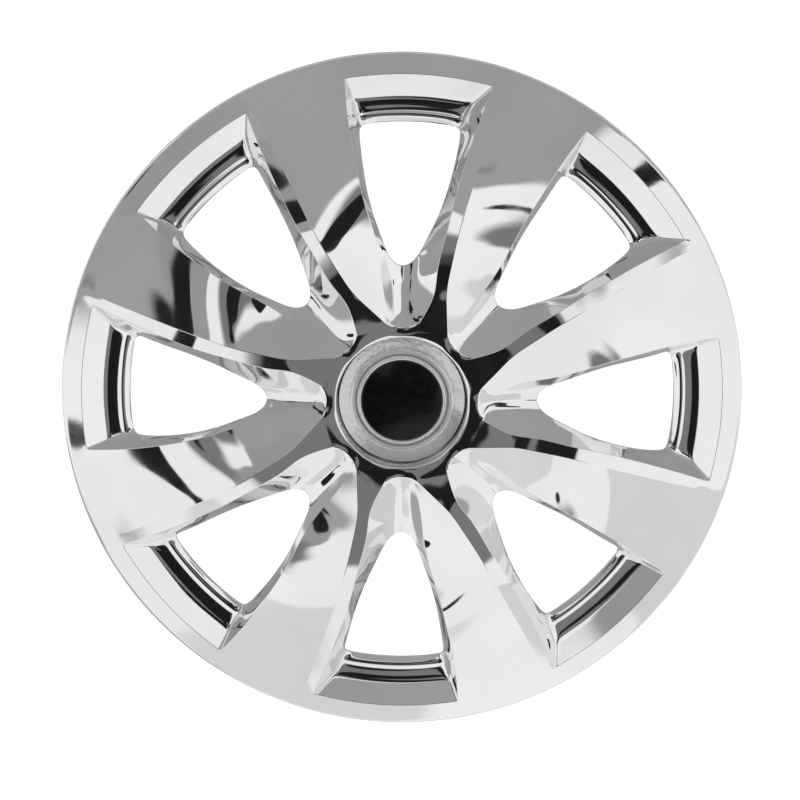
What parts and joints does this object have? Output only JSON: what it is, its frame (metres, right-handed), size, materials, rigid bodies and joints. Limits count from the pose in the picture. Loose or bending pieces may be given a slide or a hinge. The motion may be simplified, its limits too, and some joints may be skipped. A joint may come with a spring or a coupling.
{
  "type": "hubcap",
  "caption": "Round chrome wheel cover with swept spokes and windows, a ringed centre cap with a bare black badge, and clips with a spring wire at the back.",
  "frame": {"origin": "on the cover's axis, in the plane of the clips' feet that it lies on", "axes": "+Z along the wheel's axis, out of the front; +Y towards the picture's top"},
  "size_m": [0.406, 0.406, 0.064],
  "materials": {
    "chrome_shell": "mirror chrome plating on moulded plastic",
    "chrome_cap": "chrome plating, slightly satin",
    "badge_black": "gloss black domed resin",
    "spring_wire": "zinc-plated drawn wire"
  },
  "bodies": {
    "root": {"wheel_cover": "chrome_shell", "centre_cap": "chrome_cap", "badge": "badge_black", "retaining_wire": "spring_wire"}
  },
  "joints": []
}
